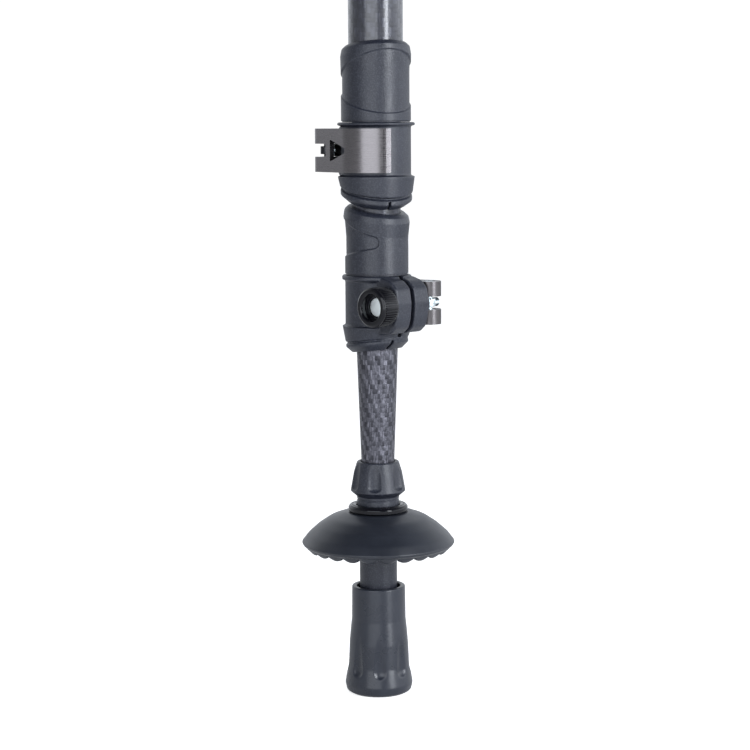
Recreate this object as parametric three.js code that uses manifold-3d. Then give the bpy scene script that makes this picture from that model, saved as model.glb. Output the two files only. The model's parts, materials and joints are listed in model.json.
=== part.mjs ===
// Telescopic prism pole, collapsed: three carbon tubes, two lever clamps, a basket and a rubber foot.
// Millimetres, +Z up. The origin is the centre of the rubber foot's flat sole.
import * as THREE from 'three';
import { mergeVertices } from 'three/addons/utils/BufferGeometryUtils.js';
import Module from 'manifold-3d';

const wasm = await Module();
wasm.setup();

// ---- driving dimensions -------------------------------------------------------------------
const GAP = 0.3;                    // clearance between neighbouring pieces
const FACETS = 24;                  // sides of a turned piece
const TUBE = { lower: 7.0, middle: 8.0, upper: 9.0 };   // outer radii: 14, 16 and 18 mm tubes
const WALL = 0.7;                   // tube wall
const LOWER_TAPER = { r: 5.54, z0: 79, z1: 114.7, r1: 6.78, zFull: 119 };
const FERRULE_TOP = 79;             // top rim of the tip ferrule's cone
const LOWER_TUBE_TOP = 535;
const MIDDLE_TUBE_TOP = 548;
const UPPER_TUBE_TOP = 590;
const SHAFT_R = 6.3;                // ferrule shaft below the basket
const GRIP = { z0: 400, z1: 520, r: 13.5 };
const LEVEL = {
  z: 330, azimuth: 20, r: 13.5, band: 13, vialX: 29, knobX: -18.5, knobR: 5, trimR: 10, plate: { z0: -9, z1: -5 },
};
const STUD = { r: 7.94, length: 20 };                   // 5/8 inch survey thread

// One lever clamp in its own frame: ears along +X, lever on +Y, thumb wheel on -Y, z = 0 at the lever.
const CLAMP = {
  middle: {
    tube: TUBE.middle, inner: TUBE.lower, z: 132.2, azimuth: -45, screwX: 12.2, screwEnd: 16.2,
    sleeve: { r: 10.5, bulge: 11.0, z0: 9.9, z1: 31.0, tilt: 11 },
    flange: { r: 11.5, z0: 7.8, z1: 9.6 },
    cone: { r0: 11.5, r1: 10.4, z0: -7.5, z1: -12.2 },
    end: { r: 10.45, z: -15.4, lipR: 8.3, tilt: 7 },
  },
  upper: {
    tube: TUBE.upper, inner: TUBE.middle, z: 182.5, azimuth: 112, screwX: 13.2, screwEnd: 14.6,
    sleeve: { r: 11.5, bulge: 11.6, z0: 9.9, z1: 34.2, tilt: 8 },
    flange: { r: 12.8, z0: 7.9, z1: 9.2 },
    cone: { r0: 12.7, r1: 12.0, z0: -8.5, z1: -12.5 },
    end: { r: 11.8, z: -17.5, lipR: 9.3, tilt: 13.5 },
  },
};
const LEVER = { height: 14.3, thick: 1.6, eyeR: 4.0, pinY: 12.3, gap: 4.3, fork: 5.5, arcEnd: 176 };
const WHEEL = { r: 6.45, y0: -8.0, y1: -15.2, bore: 3.7, counterbore: 4.1, seat: -12.9 };
const SCREW = { r: 1.5, hole: 1.8, y0: -12.4 };
const PIN = { r: 2.0, hole: 2.3, barrelR: 3.2 };
const SPLIT = 1.0;                  // the saw cut between a clamp's ears
const FOOT = { flutes: 8, firstAzimuth: 272, bore: 7.3, floor: 8 };
const DIMPLE_AZIMUTHS = [205, 263, 323, 23, 83, 143];
const BASKET_LOBES = 24;
const FAR = 30;                     // a cutter's reach, well past the piece it cuts

// ---- solids ------------------------------------------------------------------------------
const radians = THREE.MathUtils.degToRad;

// A closed, indexed geometry with nothing but positions, its faces pointing out.
function closed(geometry) {
  const bare = geometry.clone();
  for (const name of Object.keys(bare.attributes)) if (name !== 'position') bare.deleteAttribute(name);
  const merged = mergeVertices(bare, 1e-4);
  const index = Array.from(merged.index.array);
  const at = merged.attributes.position;
  const kept = [];
  let volume = 0;
  const [a, b, c] = [new THREE.Vector3(), new THREE.Vector3(), new THREE.Vector3()];
  for (let i = 0; i < index.length; i += 3) {
    const [p, q, r] = index.slice(i, i + 3);
    if (p === q || q === r || r === p) continue;
    kept.push(p, q, r);
    volume += a.fromBufferAttribute(at, p).dot(b.fromBufferAttribute(at, q).cross(c.fromBufferAttribute(at, r)));
  }
  if (volume < 0) for (let i = 0; i < kept.length; i += 3) [kept[i], kept[i + 1]] = [kept[i + 1], kept[i]];
  merged.setIndex(kept);
  return merged;
}

function solid(geometry) {
  const g = closed(geometry);
  return new wasm.Manifold(new wasm.Mesh({
    numProp: 3,
    vertProperties: new Float32Array(g.attributes.position.array),
    triVerts: new Uint32Array(g.index.array),
  }));
}

function geometryOf(manifold) {
  const mesh = manifold.getMesh();
  const g = new THREE.BufferGeometry();
  g.setAttribute('position', new THREE.BufferAttribute(new Float32Array(mesh.vertProperties), 3));
  g.setIndex(Array.from(mesh.triVerts));
  return g;
}

function cut(geometry, ...tools) {
  return geometryOf(tools.reduce((left, tool) => left.subtract(solid(tool)), solid(geometry)));
}

function join(...geometries) {
  return geometryOf(geometries.map(solid).reduce((sum, next) => sum.add(next)));
}

// A profile of [radius, z] points turned about Z; open ends lie on the axis, a ring closes on itself.
function turned(profile, sides = FACETS) {
  const onAxis = profile[0][0] === 0;
  const points = (onAxis ? profile : [...profile, profile[0]]).map(([r, z]) => new THREE.Vector2(r, z));
  return closed(new THREE.LatheGeometry(points, sides).rotateX(Math.PI / 2));
}

function ring(inner, outer, z0, z1, sides = FACETS) {
  return turned([[inner, z0], [outer, z0], [outer, z1], [inner, z1]], sides);
}

function rod(r, z0, z1, sides = 16) {
  return turned([[0, z0], [r, z0], [r, z1], [0, z1]], sides);
}

// Turns a piece made about Z so that its +Z runs along +Y.
const alongY = (geometry) => geometry.rotateX(-Math.PI / 2);

function box(x0, x1, y0, y1, z0, z1) {
  return new THREE.BoxGeometry(x1 - x0, y1 - y0, z1 - z0)
    .translate((x0 + x1) / 2, (y0 + y1) / 2, (z0 + z1) / 2);
}

// A flat outline of [x, y] points with height along Z.
function prism(points, z0, z1) {
  const shape = new THREE.Shape(points.map(([x, y]) => new THREE.Vector2(x, y)));
  return new THREE.ExtrudeGeometry(shape, { depth: z1 - z0, bevelEnabled: false, steps: 1 })
    .translate(0, 0, z0);
}

// Slants one end of a turned piece: from zFrom to zTo the height grows by slope times x.
function slanted(geometry, zFrom, zTo, degrees) {
  const at = geometry.attributes.position;
  const slope = Math.tan(radians(degrees));
  for (let i = 0; i < at.count; i += 1) {
    const weight = THREE.MathUtils.clamp((at.getZ(i) - zFrom) / (zTo - zFrom), 0, 1);
    at.setZ(i, at.getZ(i) + weight * slope * at.getX(i));
  }
  return geometry;
}

// Copies of a piece, evenly spaced about Z from a first azimuth.
function roundAxis(count, first, make) {
  return Array.from({ length: count }, (_, i) => make().rotateZ(radians(first + (i * 360) / count)));
}

// ---- finishes ----------------------------------------------------------------------------
const finish = (color, roughness, metalness) => new THREE.MeshStandardMaterial({ color, roughness, metalness });
const FINISH = {
  carbon: finish(0x3a3a42, 0.35, 0.2),
  moulding: finish(0x34373e, 0.6, 0),
  gloss: finish(0x121318, 0.15, 0),
  rubber: finish(0x2f3238, 0.55, 0),
  titanium: finish(0x8a8890, 0.3, 1),
  zinc: finish(0xb8c8cc, 0.25, 1),
  steel: finish(0xa0a4a8, 0.3, 1),
  nylon: finish(0xd8d6cc, 0.5, 0),
  foam: finish(0x26282c, 0.9, 0),
  anodised: finish(0x24262b, 0.4, 0.8),
  brass: finish(0xb08a45, 0.3, 1),
  glass: finish(0xd6e58a, 0.05, 0),
};

const group = new THREE.Group();
function add(name, geometry, material, parent = group) {
  const mesh = new THREE.Mesh(geometry, material);
  mesh.name = name;
  parent.add(mesh);
}

// ---- foot and tip ------------------------------------------------------------------------
function rubberFoot() {
  const body = turned([
    [0, 0], [9.5, 0], [10.7, 0.8], [11.4, 3], [10.4, 9.3], [9.95, 17.3], [9.1, 25.3], [8.96, 36.5],
    [FOOT.bore, 36.5], [FOOT.bore, FOOT.floor], [0, FOOT.floor],
  ]);
  const flutes = roundAxis(FOOT.flutes, FOOT.firstAzimuth, () => new THREE.ConeGeometry(2.3, 14, 8)
    .rotateX(Math.PI / 2).scale(0.5, 1, 1).translate(10.75, 0, 13.2));
  return cut(body, ...flutes);
}

function tipFerrule() {
  const cone = turned([
    [0, 16], [SHAFT_R, 16], [SHAFT_R, 62], [7.06, 62.6], [7.06, 67], [9.2, 69], [8.0, 75.5],
    [6.95, FERRULE_TOP], [LOWER_TAPER.r + GAP, FERRULE_TOP], [LOWER_TAPER.r + GAP, 66], [0, 66],
  ]);
  const dimples = DIMPLE_AZIMUTHS.map((azimuth) => new THREE.SphereGeometry(2.2, 8, 6)
    .scale(0.5, 0.8, 1.5).translate(9.4, 0, 73).rotateZ(radians(azimuth)));
  const tipSocket = rod(2.5 + GAP, 10, 20);
  return cut(cone, tipSocket, ...dimples);
}

add('rubber_foot', rubberFoot(), FINISH.rubber);
add('foot_washer', ring(2.2, 6.6, 8.3, 9.5), FINISH.steel);
add('tip_ferrule', tipFerrule(), FINISH.moulding);
add('steel_tip', turned([[0, 10], [1.4, 10], [2.5, 13.5], [2.5, 19.6], [0, 19.6]], 24), FINISH.steel);

// ---- basket ------------------------------------------------------------------------------
function basket() {
  const inner = SHAFT_R + GAP;
  const dome = turned([
    [inner, 54], [7.9, 54], [8.6, 56.6], [14, 55.2], [19, 52.6], [22.2, 49.4], [23.0, 49.2], [25.4, 50.9],
    [25.7, 51.6], [23.6, 54.4], [20.1, 57.6], [16.2, 60.3], [11, 61.9], [inner, 61.9],
  ]);
  const notches = roundAxis(BASKET_LOBES, 0, () => new THREE.CylinderGeometry(0.9, 0.9, 8, 6)
    .rotateZ(Math.PI / 2).translate(23, 0, 48.9));
  return cut(dome, ...notches);
}

add('basket', basket(), FINISH.moulding);
add('basket_ring', turned([
  [7.4, 62.2], [9.96, 62.2], [9.96, 64.0], [9.5, 64.5], [7.8, 64.5], [7.4, 64.1],
]), FINISH.gloss);

// ---- tubes, plugs and guides ---------------------------------------------------------------
function lowerTube() {
  const inner = 3.9;
  return turned([
    [inner, 66.4], [LOWER_TAPER.r, 66.4], [LOWER_TAPER.r, LOWER_TAPER.z0], [LOWER_TAPER.r1, LOWER_TAPER.z1],
    [TUBE.lower, LOWER_TAPER.zFull], [TUBE.lower, LOWER_TUBE_TOP], [TUBE.lower - WALL, LOWER_TUBE_TOP],
    [TUBE.lower - WALL, LOWER_TAPER.zFull + 4],
  ]);
}

// An end plug: a spigot inside its tube, a neck that carries the guide ring, and a cap.
function endPlug(tubeR, top) {
  const spigot = tubeR - WALL - GAP;
  const neck = tubeR - 2.0;
  const cap = tubeR - 0.4;
  return turned([
    [3.2, top - 14], [spigot, top - 14], [spigot, top + GAP], [neck, top + GAP], [neck, top + 4.6],
    [cap, top + 4.6], [cap, top + 5.8], [cap - 0.8, top + 6.4], [3.2, top + 6.4],
  ]);
}

// The middle tube's end cap, with a neck for its guide ring.
function middlePlug() {
  const inner = TUBE.lower - 0.9;
  const neck = TUBE.middle - WALL;
  const cap = TUBE.middle - 0.1;
  const top = MIDDLE_TUBE_TOP;
  return turned([
    [inner, top + GAP], [neck, top + GAP], [neck, top + 4.6], [cap, top + 4.6], [cap, top + 6.0], [inner, top + 6.0],
  ]);
}

// A slip ring on a plug's neck, which runs in the next tube out.
function guideRing(neckR, top, outer) {
  return ring(neckR + GAP, outer, top + 0.7, top + 4.2);
}

const bore = (tubeR) => tubeR - WALL;
add('lower_tube', lowerTube(), FINISH.carbon);
add('lower_end_plug', endPlug(TUBE.lower, LOWER_TUBE_TOP), FINISH.nylon);
add('lower_guide_ring', guideRing(TUBE.lower - 2.0, LOWER_TUBE_TOP, bore(TUBE.middle) - GAP), FINISH.nylon);
add('middle_tube', ring(bore(TUBE.middle), TUBE.middle, CLAMP.middle.z + 10, MIDDLE_TUBE_TOP), FINISH.carbon);
add('middle_end_plug', middlePlug(), FINISH.nylon);
add('upper_guide_ring', guideRing(TUBE.middle - WALL, MIDDLE_TUBE_TOP, bore(TUBE.upper) - 0.15), FINISH.nylon);
add('upper_tube', ring(bore(TUBE.upper), TUBE.upper, CLAMP.upper.z + 10, UPPER_TUBE_TOP), FINISH.carbon);

// ---- lever clamps --------------------------------------------------------------------------
// The long sleeve bonded over the end of the outer tube, with its slanted shoulder.
function clampSleeve(c) {
  const { r, bulge, z0, z1, tilt } = c.sleeve;
  const inner = c.tube + GAP;
  const body = turned([
    [inner, z0], [r, z0], [r, z1 - 9], [bulge, z1 - 3.2], [bulge - 0.5, z1 - 1.0], [bulge - 1.4, z1], [inner, z1],
  ]);
  return slanted(body, z1 - 9, z1, -tilt);
}

// The ears' outline in the plane of the screw: a rounded D standing out of the collar.
function earOutline(c) {
  const dx = c.screwX - 12.2;
  return [
    [6, 8.9], [10.2 + dx, 8.9], [13.5 + dx, 7.6], [15.8 + dx, 5.4], [16.8 + dx, 0.8], [16.5 + dx, -3.8],
    [15.5 + dx, -6.9], [13.2 + dx, -9.0], [6, -9.8],
  ];
}

// The split collar: flange, grip length, lower cone, groove and slanted end ring, with two ears.
function clampCollar(c) {
  const { r } = c.sleeve;
  const grip = c.inner + 0.95;
  const lip = c.inner + GAP;
  const { cone, flange, end } = c;
  const body = slanted(turned([
    [grip, flange.z1], [flange.r, flange.z1], [flange.r, flange.z0], [r, flange.z0], [r, cone.z0 + 0.1],
    [cone.r0, cone.z0], [cone.r1, cone.z1], [cone.r1 - 1.0, cone.z1 - 0.4], [cone.r1 - 1.0, cone.z1 - 1.0],
    [end.r, cone.z1 - 1.4], [end.r, end.z + 1.6], [end.lipR, end.z], [lip, end.z], [lip, end.z + 1.2],
    [grip, end.z + 1.2],
  ]), cone.z0, cone.z1, end.tilt);
  const ears = prism(earOutline(c), -7.5, 7.5).rotateX(Math.PI / 2);
  const tubeWay = rod(grip, -9.9, 12, FACETS);
  const split = box(6, FAR, -SPLIT / 2, SPLIT / 2, -FAR, FAR);
  const screwWay = alongY(rod(SCREW.hole, -FAR, FAR, 12)).translate(c.screwX, 0, 0);
  const wheelPocket = alongY(rod(WHEEL.r + 0.4, -FAR, WHEEL.y0 + 0.4)).translate(c.screwX, 0, 0);
  const leverSeat = alongY(rod(LEVER.eyeR + 0.9, 7.5, FAR)).translate(c.screwX, 0, 0);
  return cut(join(body, cut(ears, tubeWay)), split, screwWay, wheelPocket, leverSeat);
}

// A thin split liner that grips the inner tube.
function clampShim(c) {
  const liner = ring(c.inner + 0.2, c.inner + 0.7, c.end.z + 3.6, c.flange.z1 - 0.2);
  return cut(liner, box(0, 12, -0.6, 0.6, -40, 40));
}

// The fork-ended lever: two eyes on the pin, a straight neck and an arc round the collar.
function clampLever(c) {
  const innerR = c.sleeve.r + GAP;
  const outerR = innerR + LEVER.thick;
  const pin = new THREE.Vector2(c.screwX, LEVER.pinY);
  const normal = pin.angle() + Math.acos((outerR - LEVER.eyeR) / pin.length());
  const polar = (radius, angle) => [radius * Math.cos(angle), radius * Math.sin(angle)];
  const fromPin = (radius) => [pin.x + radius * Math.cos(normal), pin.y + radius * Math.sin(normal)];
  const end = radians(LEVER.arcEnd);
  const steps = 8;
  const outline = [fromPin(LEVER.eyeR)];
  for (let i = 0; i <= steps; i += 1) outline.push(polar(outerR, normal + ((end - normal) * i) / steps));
  outline.push(polar(outerR + 1.0, end + 0.05), polar(outerR + 0.2, end + 0.1));
  for (let i = steps; i >= 0; i -= 1) outline.push(polar(innerR, normal + ((end - normal) * i) / steps));
  outline.push(fromPin(LEVER.eyeR - LEVER.thick));
  const half = LEVER.height / 2;
  const eye = rod(LEVER.eyeR, -half, half).translate(pin.x, pin.y, 0);
  const toTip = normal + Math.PI / 2;
  const inFork = (geometry) => geometry.rotateZ(toTip).translate(pin.x, pin.y, 0);
  const forkGap = inFork(box(-12, LEVER.fork, -12, 12, -LEVER.gap / 2, LEVER.gap / 2));
  const pinWay = rod(PIN.hole, -10, 10).translate(pin.x, pin.y, 0);
  const opening = inFork(prism([[8.2, -3.5], [8.2, 3.5], [16.6, 0.75], [16.6, -0.75]], -8, 8)
    .rotateX(-Math.PI / 2));
  return cut(join(prism(outline, -half, half), eye), forkGap, pinWay, opening);
}

function pivotPin(c) {
  const barrel = join(rod(PIN.r, -7.0, 7.0, 12), rod(PIN.barrelR, -1.85, 1.85));
  return cut(barrel.translate(c.screwX, LEVER.pinY, 0),
    alongY(rod(SCREW.hole, -6, 6, 12)).translate(c.screwX, LEVER.pinY, 0));
}

function thumbWheel(c) {
  return alongY(turned([
    [WHEEL.bore, WHEEL.y0], [WHEEL.r - 0.4, WHEEL.y0], [WHEEL.r, WHEEL.y0 - 0.4], [WHEEL.r, WHEEL.y1 + 0.6],
    [WHEEL.r - 0.6, WHEEL.y1], [WHEEL.counterbore, WHEEL.y1], [WHEEL.counterbore, WHEEL.seat],
    [WHEEL.bore, WHEEL.seat],
  ])).translate(c.screwX, 0, 0);
}

// A group turned about the pole and raised along it, for the pieces made in their own frame.
function frameAt({ azimuth, z }) {
  const frame = new THREE.Group();
  frame.rotation.z = radians(azimuth);
  frame.position.z = z;
  group.add(frame);
  return frame;
}

function addClamp(prefix, c) {
  const frame = frameAt(c);
  const screw = alongY(rod(SCREW.r, SCREW.y0, c.screwEnd, 12)).translate(c.screwX, 0, 0);
  const nut = alongY(ring(SCREW.hole, WHEEL.bore - GAP, -12.8, WHEEL.y0 - 0.2, 16)).translate(c.screwX, 0, 0);
  const plate = alongY(ring(SCREW.hole, LEVER.eyeR, 7.7, 8.1, 16)).translate(c.screwX, 0, 0);
  add(`${prefix}_sleeve`, clampSleeve(c), FINISH.moulding, frame);
  add(`${prefix}_collar`, clampCollar(c), FINISH.moulding, frame);
  add(`${prefix}_shim`, clampShim(c), FINISH.nylon, frame);
  add(`${prefix}_lever`, clampLever(c), FINISH.titanium, frame);
  add(`${prefix}_pivot_pin`, pivotPin(c), FINISH.steel, frame);
  add(`${prefix}_tension_screw`, screw, FINISH.zinc, frame);
  add(`${prefix}_thumb_wheel`, thumbWheel(c), FINISH.gloss, frame);
  add(`${prefix}_wheel_nut`, nut, FINISH.zinc, frame);
  add(`${prefix}_bearing_plate`, plate, FINISH.steel, frame);
}

addClamp('middle', CLAMP.middle);
addClamp('upper', CLAMP.upper);

// ---- grip ----------------------------------------------------------------------------------
add('foam_grip', turned([
  [TUBE.upper + GAP, GRIP.z0], [GRIP.r - 0.8, GRIP.z0], [GRIP.r, GRIP.z0 + 2], [GRIP.r, GRIP.z1 - 2],
  [GRIP.r - 0.8, GRIP.z1], [TUBE.upper + GAP, GRIP.z1],
]), FINISH.foam);
add('grip_lower_ring', ring(TUBE.upper + GAP, GRIP.r - 0.6, GRIP.z0 - 4.3, GRIP.z0 - GAP), FINISH.moulding);
add('grip_upper_ring', ring(TUBE.upper + GAP, GRIP.r - 0.6, GRIP.z1 + GAP, GRIP.z1 + 4.3), FINISH.moulding);

// ---- circular level on its clamp -----------------------------------------------------------
// The three adjusting screws, or their holes, from one made on the vial's axis.
const roundVial = (make) => roundAxis(3, 0, () => make().translate(LEVEL.trimR, 0, 0))
  .map((piece) => piece.translate(LEVEL.vialX, 0, 0));

// The split band on the pole, the arm and round plate under the vial, and the ear for the clamp screw.
function levelBracket() {
  const inner = TUBE.upper + GAP;
  const { z0, z1 } = LEVEL.plate;
  const body = join(
    ring(inner, LEVEL.band, -9, 9),
    box(11, LEVEL.vialX - 2, -5, 5, z0, z1),
    rod(LEVEL.r, z0, z1, FACETS).translate(LEVEL.vialX, 0, 0),
    box(LEVEL.knobX - 4, -11, -5, 5, -6, 6),
  );
  const screwWay = alongY(rod(1.8, -12, 12, 16)).translate(LEVEL.knobX, 0, 0);
  const holes = roundVial(() => rod(1.5, -12, -2, 12));
  const split = box(-FAR, -6, -0.6, 0.6, -FAR, FAR);
  return cut(body, rod(inner, -12, 12, FACETS), split, screwWay, ...holes);
}

const level = frameAt(LEVEL);
const rim = LEVEL.r - 0.5;
add('level_bracket', levelBracket(), FINISH.anodised, level);
add('level_housing', turned([
  [0, -4.2], [rim, -4.2], [rim, 4.5], [rim - 1, 5.5], [9.2, 5.5], [9.2, -1.7], [0, -1.7],
]).translate(LEVEL.vialX, 0, 0), FINISH.anodised, level);
add('level_vial', turned([
  [0, -1.4], [8.9, -1.4], [8.9, 4.2], [6, 5.2], [0, 5.6],
]).translate(LEVEL.vialX, 0, 0), FINISH.glass, level);
roundVial(() => join(rod(1.2, -8.7, -5.2, 12), rod(2.4, -11.4, -9.3, 16), rod(1.2, -9.4, -8.6, 12)))
  .forEach((screw, i) => add(`level_adjusting_screw_${i + 1}`, screw, FINISH.brass, level));
add('level_clamp_screw', alongY(join(rod(1.5, -5.3, 5.3, 16), rod(LEVEL.knobR, 5.3, 10.3)))
  .translate(LEVEL.knobX, 0, 0), FINISH.anodised, level);

// ---- pole top ------------------------------------------------------------------------------
const plugR = bore(TUBE.upper) - GAP;
const shoulder = UPPER_TUBE_TOP + 10;
add('top_ferrule', cut(turned([
  [0, MIDDLE_TUBE_TOP + 16], [plugR, MIDDLE_TUBE_TOP + 16], [plugR, UPPER_TUBE_TOP + GAP],
  [11, UPPER_TUBE_TOP + GAP], [12, UPPER_TUBE_TOP + 1.3], [12, shoulder - 1], [11, shoulder], [0, shoulder],
]), rod(5.3, shoulder - 14, shoulder + 1)), FINISH.anodised);
add('prism_stud', join(
  rod(5, shoulder - 13.5, shoulder + 0.4, 24),
  rod(STUD.r, shoulder + 0.3, shoulder + STUD.length, FACETS),
), FINISH.steel);

export default group;
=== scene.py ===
# A collapsed telescopic prism pole: carbon tubes, two lever clamps, a basket and a rubber foot.
# Pieces are made in millimetres about the pole's axis, then put in the frame's metres.
import json
import math

import bmesh
import bpy
from mathutils import Matrix, Vector


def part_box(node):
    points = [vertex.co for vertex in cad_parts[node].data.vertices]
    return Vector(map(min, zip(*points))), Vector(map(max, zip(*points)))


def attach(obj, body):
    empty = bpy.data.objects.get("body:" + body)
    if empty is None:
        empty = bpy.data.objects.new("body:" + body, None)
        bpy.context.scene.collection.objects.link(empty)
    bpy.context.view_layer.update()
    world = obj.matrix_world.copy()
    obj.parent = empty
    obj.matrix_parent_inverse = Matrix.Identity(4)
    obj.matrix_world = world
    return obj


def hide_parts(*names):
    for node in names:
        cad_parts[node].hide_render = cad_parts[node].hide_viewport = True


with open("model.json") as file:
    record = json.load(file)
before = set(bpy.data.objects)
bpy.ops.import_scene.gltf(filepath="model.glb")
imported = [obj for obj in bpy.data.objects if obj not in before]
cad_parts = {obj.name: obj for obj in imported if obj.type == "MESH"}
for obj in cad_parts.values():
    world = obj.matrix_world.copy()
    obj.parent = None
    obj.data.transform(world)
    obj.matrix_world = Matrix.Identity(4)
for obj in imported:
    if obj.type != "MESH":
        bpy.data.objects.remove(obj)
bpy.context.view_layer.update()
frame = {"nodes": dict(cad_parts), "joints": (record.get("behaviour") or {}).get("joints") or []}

MM = 0.001
TURN = 2 * math.pi

# ---- driving sizes, in millimetres ----------------------------------------------------------
TUBE = {"lower": 7.0, "middle": 8.0, "upper": 9.0}
WALL = 0.7
GAP = 0.3
LEVER = {"thick": 1.6, "eye": 4.0, "half": 7.15, "gap": 4.3, "fork": 5.5, "end": 167.5}
WHEEL = {"r": 6.5, "inner": -8.0, "outer": -15.4, "bore": 3.3, "counterbore": 4.2, "seat": -12.9}
SCREW_R = 1.5
SCREW_END = {"middle": 16.2, "upper": 12.9}
SPLIT = 1.7

SLEEVE = {
    "middle": {"r": 10.5, "bulge": 11.0, "z0": 9.9, "z1": 31.0, "tilt": 11,
               "panel": {"top": (25.0, 3.85), "foot": (17.1, 2.2)}},
    "upper": {"r": 11.5, "bulge": 11.62, "z0": 9.55, "z1": 34.2, "tilt": 8,
              "panel": {"top": (26.6, 4.93), "foot": (16.2, 4.14)}},
}
COLLAR = {
    "middle": {"flange": (11.5, 7.8, 9.4), "cone": (11.5, 10.5, -7.5, -12.0),
               "end": (10.35, -15.8, 8.2, 7), "groove": (0.7, 0.45, 36), "slit": (-14, -24)},
    "upper": {"flange": (12.8, 8.1, 9.15), "cone": (12.7, 12.0, -8.5, -12.5),
              "end": (11.8, -17.1, 9.3, 13.5), "groove": (1.1, 0.7, 0), "slit": (180, 0)},
}


# ---- mesh helpers ----------------------------------------------------------------------------
def new_object(name, verts, faces):
    mesh = bpy.data.meshes.new(name)
    mesh.from_pydata(verts, [], faces)
    mesh.update()
    piece = bpy.data.objects.new(name, mesh)
    bpy.context.scene.collection.objects.link(piece)
    return piece


def filleted(profile, default=0.4, steps=4, closed=True):
    """Rounds a profile's corners; a point may carry its own radius as a third value."""
    out = []
    count = len(profile)
    for i, point in enumerate(profile):
        here = Vector(point[:2])
        radius = point[2] if len(point) > 2 else default
        if not closed and i in (0, count - 1):
            out.append(tuple(here))
            continue
        before = Vector(profile[i - 1][:2]) - here
        after = Vector(profile[(i + 1) % count][:2]) - here
        angle = before.angle(after, math.pi)
        if radius <= 0 or angle > math.radians(174):
            out.append(tuple(here))
            continue
        reach = min(radius / math.tan(angle / 2), before.length * 0.45, after.length * 0.45)
        start = here + before.normalized() * reach
        end = here + after.normalized() * reach
        for k in range(steps + 1):
            t = k / steps
            out.append(tuple(start * (1 - t) ** 2 + here * 2 * t * (1 - t) + end * t ** 2))
    return out


def dense(profile, step, closed=True, where=lambda r, z: True):
    """Splits a profile's stretches, where they carry modelling, so that none is longer than step."""
    out = []
    count = len(profile)
    for i in range(count if closed else count - 1):
        a, b = Vector(profile[i]), Vector(profile[(i + 1) % count])
        parts = max(1, math.ceil((b - a).length / step)) if where(*((a + b) / 2)) else 1
        out.extend(tuple(a.lerp(b, k / parts)) for k in range(parts))
    if not closed:
        out.append(tuple(profile[-1]))
    return out


def revolve(name, profile, sides=128, shape=None):
    """Turns a profile of (radius, z) about Z. It closes on itself, or on the axis if it starts at radius 0.
    shape(angle, radius, z) may move a point to a new (radius, z)."""
    on_axis = profile[0][0] == 0
    verts, rows = [], []
    for r, z in profile:
        if r == 0:
            rows.append([len(verts)])
            verts.append((0.0, 0.0, z))
            continue
        row = []
        for k in range(sides):
            angle = TURN * k / sides
            radius, height = shape(angle, r, z) if shape else (r, z)
            row.append(len(verts))
            verts.append((radius * math.cos(angle), radius * math.sin(angle), height))
        rows.append(row)
    faces = []
    pairs = list(zip(rows, rows[1:])) + ([] if on_axis else [(rows[-1], rows[0])])
    for low, high in pairs:
        for k in range(sides):
            n = (k + 1) % sides
            if len(low) == 1:
                faces.append((low[0], high[n], high[k]))
            elif len(high) == 1:
                faces.append((low[k], low[n], high[0]))
            else:
                faces.append((low[k], low[n], high[n], high[k]))
    piece = new_object(name, verts, faces)
    outward(piece)
    return piece


def lathed(name, profile, default, steps, sides):
    """Turns a solid shape whose profile starts and ends on the axis, with its corners rounded."""
    return revolve(name, filleted(profile, default, steps, closed=False), sides)


def outward(piece):
    """Merges doubles and turns every face of a closed mesh outwards."""
    work = bmesh.new()
    work.from_mesh(piece.data)
    bmesh.ops.remove_doubles(work, verts=work.verts, dist=1e-5)
    bmesh.ops.recalc_face_normals(work, faces=work.faces)
    if work.calc_volume(signed=True) < 0:
        bmesh.ops.reverse_faces(work, faces=work.faces)
    work.to_mesh(piece.data)
    work.free()


def prism(name, outline, z0, z1):
    """A flat outline of (x, y) points with height along Z."""
    count = len(outline)
    verts = [(x, y, z0) for x, y in outline] + [(x, y, z1) for x, y in outline]
    faces = [tuple(range(count)), tuple(range(count, 2 * count))]
    faces += [(i, (i + 1) % count, count + (i + 1) % count, count + i) for i in range(count)]
    piece = new_object(name, verts, faces)
    outward(piece)
    return piece


def block(name, low, high):
    x0, y0, z0 = low
    x1, y1, z1 = high
    return prism(name, [(x0, y0), (x1, y0), (x1, y1), (x0, y1)], z0, z1)


def rod(name, r, z0, z1, sides=64):
    return revolve(name, [(0, z0), (r, z0), (r, z1), (0, z1)], sides)


def heights(node):
    """The bottom and top of a CAD node, in millimetres."""
    low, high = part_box(node)
    return low.z / MM, high.z / MM


def moved(piece, matrix):
    piece.data.transform(matrix)
    return piece


ALONG_Y = Matrix.Rotation(-math.pi / 2, 4, "X")


def shifted(x=0.0, y=0.0, z=0.0):
    return Matrix.Translation((x, y, z))


def turned(degrees):
    return Matrix.Rotation(math.radians(degrees), 4, "Z")


def with_settings(item, settings):
    for key, value in settings.items():
        setattr(item, key, value)
    return item


def add_step(piece, name, kind, **settings):
    return with_settings(piece.modifiers.new(name, kind), settings)


def applied(piece):
    """Bakes a piece's modifiers into its mesh."""
    graph = bpy.context.evaluated_depsgraph_get()
    mesh = bpy.data.meshes.new_from_object(piece.evaluated_get(graph))
    piece.modifiers.clear()
    piece.data = mesh
    return piece


def combined(piece, operation, others):
    for other in others:
        add_step(piece, "combine", "BOOLEAN", operation=operation, solver="EXACT", object=other)
        applied(piece)
        bpy.data.objects.remove(other)
    return piece


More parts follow.
